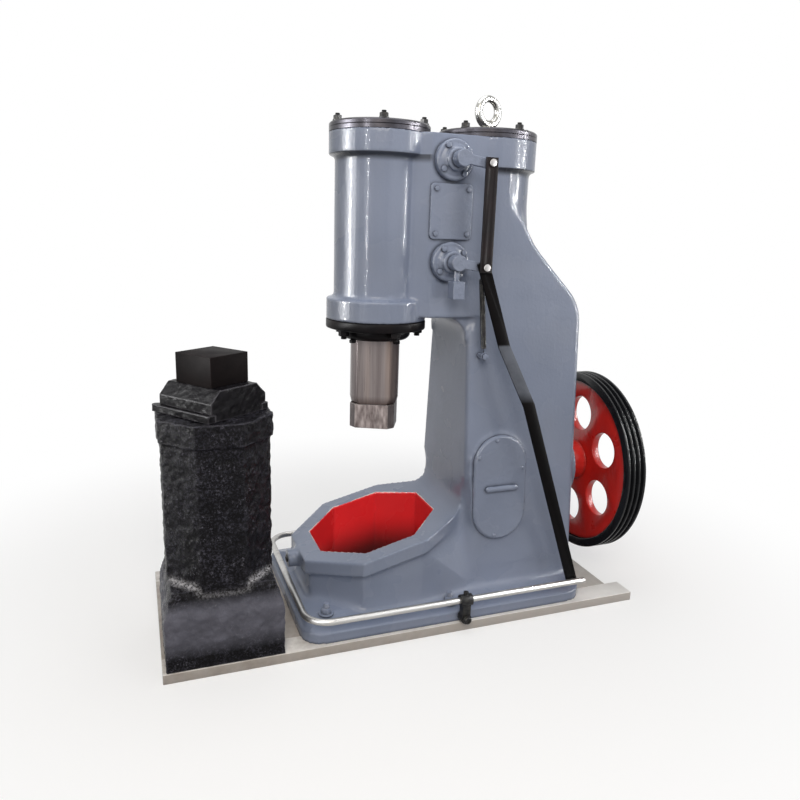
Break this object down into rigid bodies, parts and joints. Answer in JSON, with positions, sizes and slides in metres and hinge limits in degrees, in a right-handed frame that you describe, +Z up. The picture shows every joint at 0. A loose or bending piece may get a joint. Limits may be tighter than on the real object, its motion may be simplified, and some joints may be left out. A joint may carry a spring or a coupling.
{
  "type": "pneumatic forging hammer",
  "caption": "Pneumatic forging hammer: cast C-frame with ram and pump cylinders, treadle-worked valve gear and belt flywheel, its separate anvil beside it on one bed plate.",
  "frame": {"origin": "on the ram axis, at the underside of the bed plate", "axes": "+X from the ram to the flywheel, +Y to the side away from the valve gear, +Z up along the ram"},
  "size_m": [1.4543, 0.64, 1.544],
  "materials": {
    "bed": "worn light grey plate",
    "grey_paint": "brushed gloss enamel on a rough casting",
    "dark_steel": "machined, oiled",
    "bright_steel": "satin bright steel",
    "black_paint": "gloss black enamel",
    "bar_black": "satin black over hot-rolled bar",
    "black_casting": "rough sand casting, black paint",
    "die_black": "ground tool steel, blacked",
    "ram_steel": "turned forged steel with an oil film",
    "red_paint": "red enamel"
  },
  "bodies": {
    "frame": {"bed_deck": "bed", "bed_rail_near": "bed", "bed_rail_far": "bed", "frame_casting": "grey_paint", "ram_cylinder_cover": "dark_steel", "pump_cylinder_cover": "dark_steel", "lifting_eye": "bright_steel", "gland_plate": "black_paint", "gland_nose": "black_paint", "upper_valve_cover": "grey_paint", "lower_valve_cover": "grey_paint", "chest_cover": "grey_paint", "crankcase_cover": "grey_paint", "crankcase_handle": "grey_paint", "bearing_housing": "grey_paint", "treadle_pivot_near": "black_paint", "treadle_pivot_far": "black_paint", "spring_anchor": "grey_paint", "anvil_block": "black_casting", "sow_block": "black_casting", "sow_key_left": "black_casting", "sow_key_right": "black_casting", "lower_die": "die_black", "return_spring": "bar_black"},
    "ram": {"ram": "ram_steel", "upper_die": "ram_steel"},
    "flywheel": {"flywheel_web": "red_paint", "flywheel_rim": "black_paint", "crankshaft": "bright_steel"},
    "treadle": {"treadle_bar": "bright_steel", "treadle_clamp_near": "black_paint", "treadle_clamp_far": "black_paint", "pedal_pin": "bright_steel"},
    "lower_lever": {"lower_valve_lever": "grey_paint", "square_knob": "grey_paint", "lower_link_pin": "bright_steel"},
    "upper_lever": {"upper_valve_lever": "grey_paint", "upper_link_pin": "bright_steel"},
    "valve_link": {"valve_link": "bar_black"},
    "pedal_link": {"pedal_link": "bar_black"}
  },
  "joints": [
    {"name": "ram_slide", "type": "slide", "parent": "frame", "child": "ram", "axis": [0, 0, 1], "range_m": [0, 0.17]},
    {"name": "flywheel_spin", "type": "hinge", "parent": "frame", "child": "flywheel", "pos_m": [0.7, 0, 0.396], "axis": [1, 0, 0], "continuous": true},
    {"name": "treadle_pivot", "type": "hinge", "parent": "frame", "child": "treadle", "pos_m": [0.198, 0, 0.046], "axis": [0, -1, 0], "range_deg": [0, 3.2], "stiffness_Nm_per_rad": 60, "springref_deg": -17.19},
    {"name": "lower_lever_turn", "type": "hinge", "parent": "frame", "child": "lower_lever", "pos_m": [0.167, -0.2, 1.071], "axis": [0, -1, 0], "range_deg": [0, 17.8], "deforming": ["return_spring"]},
    {"name": "upper_lever_turn", "type": "hinge", "parent": "frame", "child": "upper_lever", "pos_m": [0.167, -0.2, 1.344], "axis": [0, -1, 0], "range_deg": [0, 17.8]},
    {"name": "valve_link_turn", "type": "hinge", "parent": "lower_lever", "child": "valve_link", "pos_m": [0.238, -0.229, 1.061], "axis": [0, -1, 0], "range_deg": [-17.8, 0]},
    {"name": "pedal_link_turn", "type": "hinge", "parent": "lower_lever", "child": "pedal_link", "pos_m": [0.238, -0.219, 1.061], "axis": [0, -1, 0], "range_deg": [-18, 0]}
  ],
  "couplings": [
    {"joint": "lower_lever_turn", "follows": "treadle_pivot", "ratio": 5.524},
    {"joint": "upper_lever_turn", "follows": "treadle_pivot", "ratio": 5.524},
    {"joint": "valve_link_turn", "follows": "treadle_pivot", "ratio": -5.524},
    {"joint": "pedal_link_turn", "follows": "treadle_pivot", "ratio": -5.585}
  ]
}
